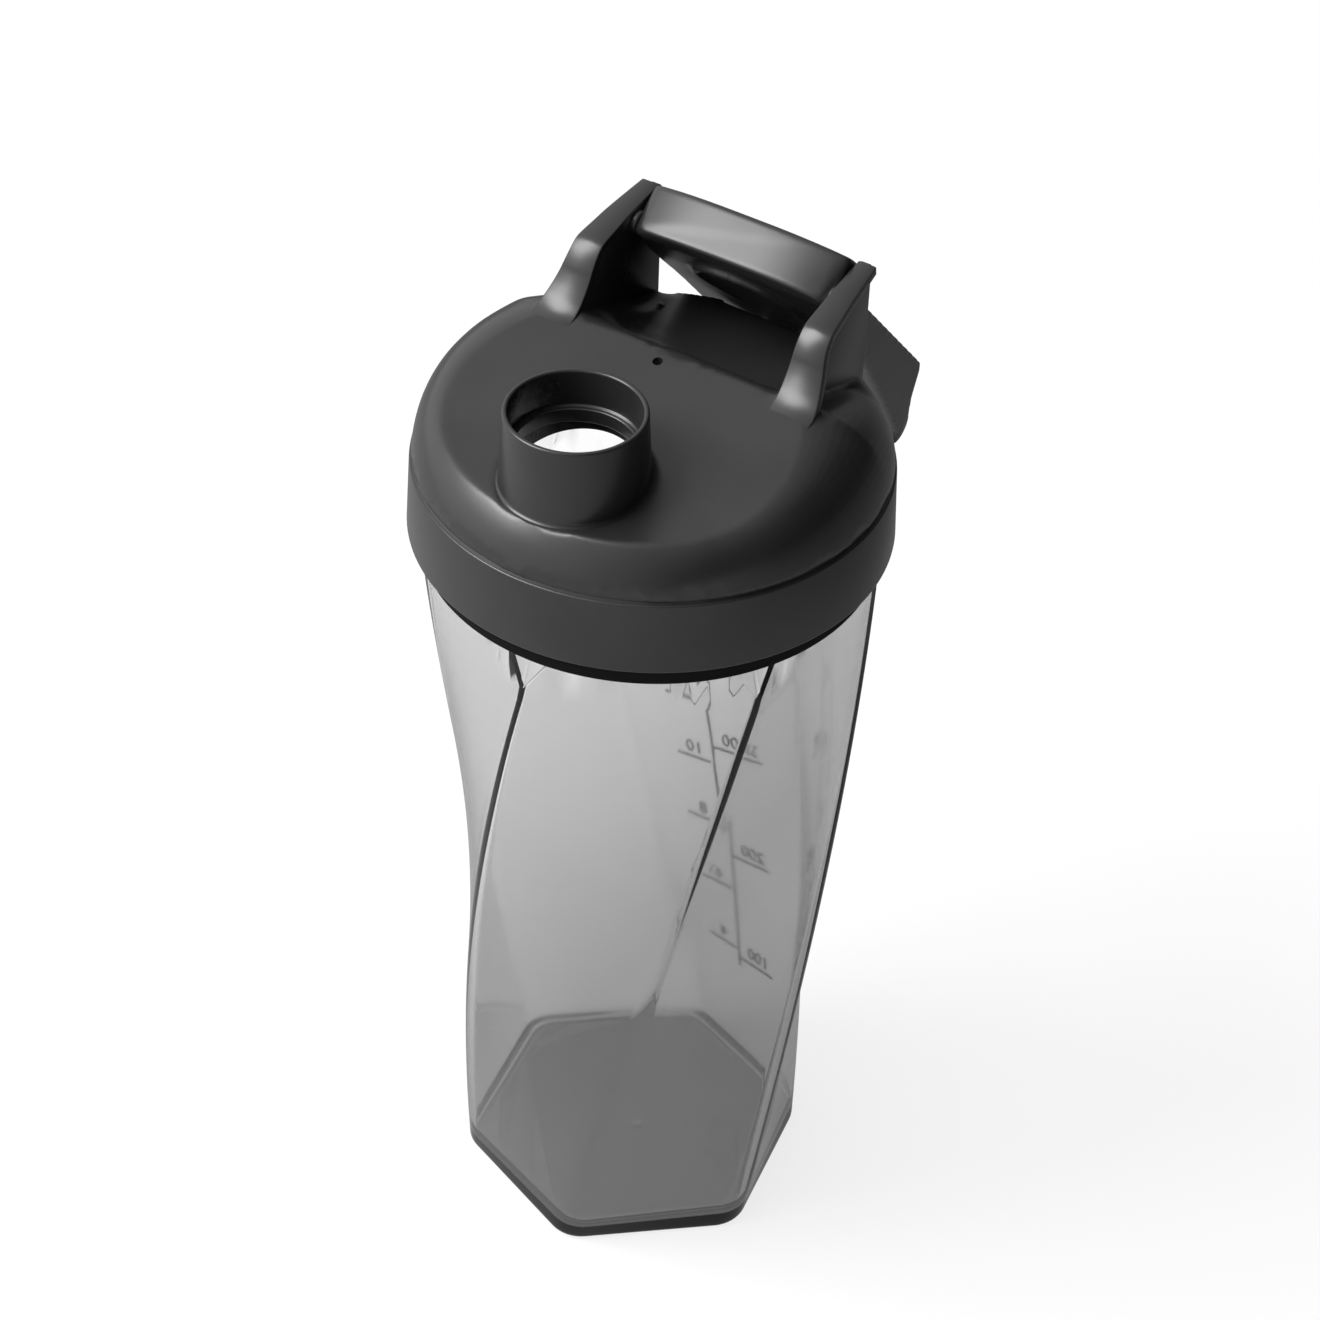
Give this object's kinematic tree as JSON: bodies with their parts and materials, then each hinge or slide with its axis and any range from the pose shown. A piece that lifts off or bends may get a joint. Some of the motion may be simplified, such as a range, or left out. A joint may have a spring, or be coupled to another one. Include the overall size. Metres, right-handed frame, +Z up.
{
  "type": "protein shaker bottle",
  "caption": "Shaker bottle with a twisted hexagonal smoke-clear body, black screw lid with a round spout between a vent and a front ridge, and a wide flip cap hinged between two fins.",
  "frame": {"origin": "on the table under the middle of the bottle's base", "axes": "+Z up along the lid's screw axis, spout towards -Y, flip cap hinge axis along X on the +Y side"},
  "size_m": [0.094, 0.1244, 0.2252],
  "materials": {
    "smoke_plastic": "clear gloss with a smoke tint",
    "black_plastic": "satin",
    "black_cap_plastic": "satin",
    "silicone": "soft matt",
    "steel": "drawn rod"
  },
  "bodies": {
    "bottle": {"bottle": "smoke_plastic"},
    "gasket": {"lid_gasket": "silicone"},
    "lid": {"lid": "black_plastic", "hinge_pin": "steel", "vent_valve": "silicone"},
    "cap": {"flip_cap": "black_cap_plastic", "spout_seal": "silicone"}
  },
  "joints": [
    {"name": "lid_rise", "type": "slide", "parent": "bottle", "child": "gasket", "axis": [0, 0, 1], "range_m": [0, 0.012]},
    {"name": "lid_turn", "type": "hinge", "parent": "gasket", "child": "lid", "pos_m": [0, 0, 0.187], "axis": [0, 0, 1], "range_deg": [0, 360]},
    {"name": "cap_flip", "type": "hinge", "parent": "lid", "child": "cap", "pos_m": [0, 0.0266, 0.2178], "axis": [1, 0, 0], "range_deg": [0, 225]}
  ],
  "couplings": [
    {"joint": "lid_rise", "follows": "lid_turn", "m_per_rad": 0.0019099}
  ]
}
